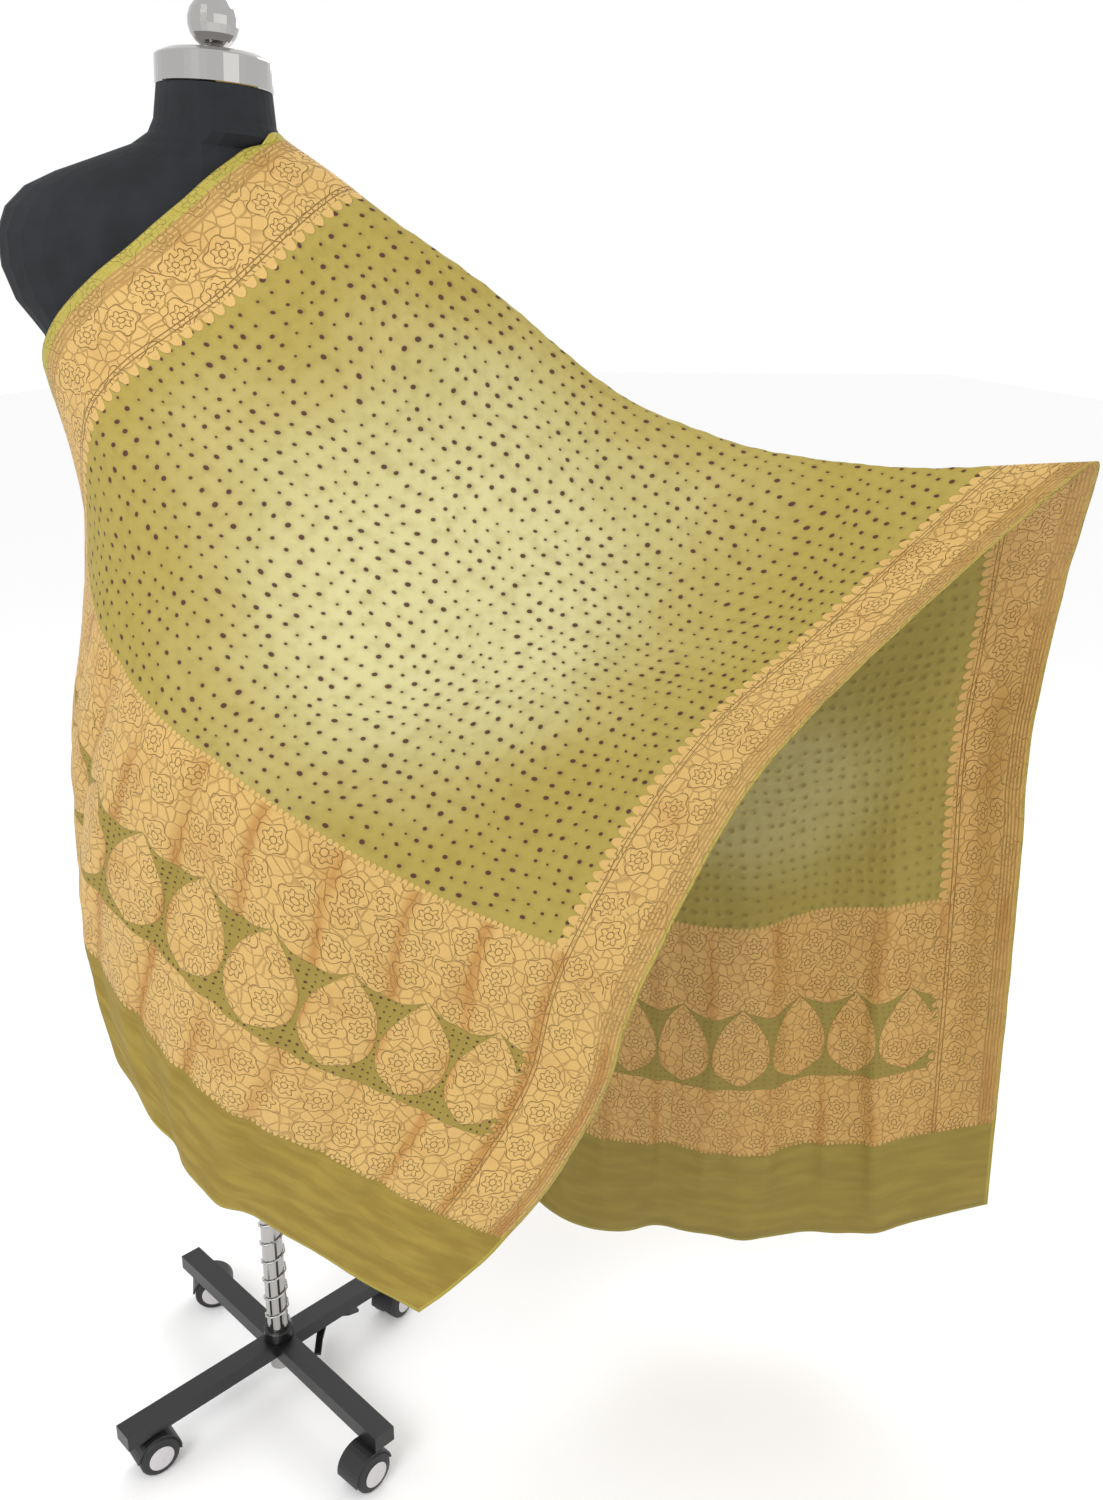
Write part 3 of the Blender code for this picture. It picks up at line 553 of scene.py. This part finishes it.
CHROME = plain_paint("bright plating", light(176, 174, 172), 0.05, 1.0, 12.0)
COIL = plain_paint("bright wire", light(190, 190, 188), 0.18, 1.0)
STEEL = plain_paint("black paint", light(17, 17, 19), 0.30, 0.0, 400.0, 0.2 * MM)
MOULDED = plain_paint("moulded black", light(24, 24, 26), 0.42, 0.0, 500.0, 0.2 * MM)
DISC = plain_paint("pale grey plastic", light(196, 192, 194), 0.40)
FINISH = {"form_torso": jersey(), "neck_cap": CHROME, "neck_ball": CHROME, "pole": CHROME, "pole_coil": COIL,
          "form_flange": STEEL, "pole_collar": STEEL, "base_cross": STEEL, "foot_lever": STEEL}
ROUND = ("form_torso", "neck_ball", "pole", "pole_coil")
for name, node in frame["nodes"].items():
    if name == "dupatta":
        continue
    node.data.materials.clear()
    node.data.materials.append(FINISH.get(name, MOULDED))
    if name in ROUND:
        node.data.polygons.foreach_set("use_smooth", np.ones(len(node.data.polygons), bool))
print("finished", len(frame["nodes"]) - 1, "nodes of the stand")

# %% [markdown]
# ## Hub discs on the castors
# A low dome stands on each face of each pair of wheels, and rolls with it.

# %%
DISC_R, WHEEL_HALF, DISC_SIDES = 0.0158, 0.0212, 32
# share of the radius, height over the wheel's face in mm
DISC_PROFILE = ((0.02, 1.3), (0.5, 1.15), (0.85, 0.8), (1.0, 0.15))


def disc(name, centre, axle, body):
    """A domed hub disc on one face of a wheel."""
    up = np.array((0.0, 0.0, 1.0))
    side = np.cross(axle, up)
    turn = np.linspace(0, 2 * math.pi, DISC_SIDES, endpoint=False)[:, None]
    circle = np.cos(turn) * side + np.sin(turn) * up
    rings = [centre + axle * (WHEEL_HALF + height * MM) + circle * (DISC_R * r) for r, height in DISC_PROFILE]
    low = np.arange((len(DISC_PROFILE) - 1) * DISC_SIDES)
    beside = low - low % DISC_SIDES + (low + 1) % DISC_SIDES
    faces = np.stack([low, beside, beside + DISC_SIDES, low + DISC_SIDES], 1).tolist()
    faces.append(list(range(DISC_SIDES)))
    mesh = bpy.data.meshes.new(name)
    mesh.from_pydata(np.concatenate(rings), [], faces)
    mesh.polygons.foreach_set("use_smooth", np.ones(len(faces), bool))
    mesh.materials.append(DISC)
    piece = bpy.data.objects.new(name, mesh)
    bpy.context.scene.collection.objects.link(piece)
    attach(piece, body)


for joint in frame["joints"]:
    if joint["name"].startswith("roll_"):
        castor = joint["name"][5:]
        for sign, word in ((1, "outer"), (-1, "inner")):
            axle = sign * np.array(joint["axis"])
            disc("hub_disc_" + word + "_" + castor, np.array(joint["pos_m"]), axle, "wheels_" + castor)

# %% [markdown]
# ## Floor, light and camera
# A broad soft key from the left front, a weak fill and a light behind, on a white floor under a white sky.

# %%
AIM = (0.0, 0.0, 0.85)
# place, size and power of each lamp
LAMPS = {
    "key": ((-1.3, -2.5, 2.9), 1.5, 46),
    "fill": ((2.2, -2.2, 1.7), 2.2, 8),
    "back": ((0.6, 2.4, 2.6), 1.6, 20),
}


def lamp(name, place, size, power):
    """An area lamp turned to AIM."""
    data = bpy.data.lights.new(name, "AREA")
    data.size, data.energy = size, power
    piece = bpy.data.objects.new(name, data)
    bpy.context.scene.collection.objects.link(piece)
    piece.location = place
    piece.rotation_euler = (Vector(AIM) - Vector(place)).to_track_quat("-Z", "Y").to_euler()
    return piece


floor_mesh = bpy.data.meshes.new("floor")
under = -0.5 * MM
floor_mesh.from_pydata([(-9, -5, under), (9, -5, under), (9, 30, under), (-9, 30, under)], [], [(0, 1, 2, 3)])
floor_mesh.materials.append(plain_paint("white floor", (0.96, 0.96, 0.96), 0.8))
floor = bpy.data.objects.new("floor", floor_mesh)
bpy.context.scene.collection.objects.link(floor)
[lamp(name, *settings) for name, settings in LAMPS.items()]
world = bpy.data.worlds.new("studio")
bpy.context.scene.world = world
world.use_nodes = True
sky = world.node_tree.nodes["Background"].inputs
sky["Color"].default_value, sky["Strength"].default_value = (1, 1, 1, 1), 1.0
bpy.context.scene.view_settings.view_transform = "Standard"

camera_data = bpy.data.cameras.new("camera")
camera_data.sensor_width, camera_data.lens = 36.0, 31.04
camera = bpy.data.objects.new("camera", camera_data)
bpy.context.scene.collection.objects.link(camera)
camera.location = Vector((0.3584, -1.3625, 1.3535)) + Vector(SHIFT)
pitch, yaw, roll = (math.radians(v) for v in (18.77, -0.204, 0.388))
ahead = Vector((math.sin(yaw) * math.cos(pitch), math.cos(yaw) * math.cos(pitch), -math.sin(pitch)))
camera.rotation_euler = ahead.to_track_quat("-Z", "Y").to_euler()
camera.rotation_euler.rotate_axis("Z", roll)
bpy.context.scene.camera = camera
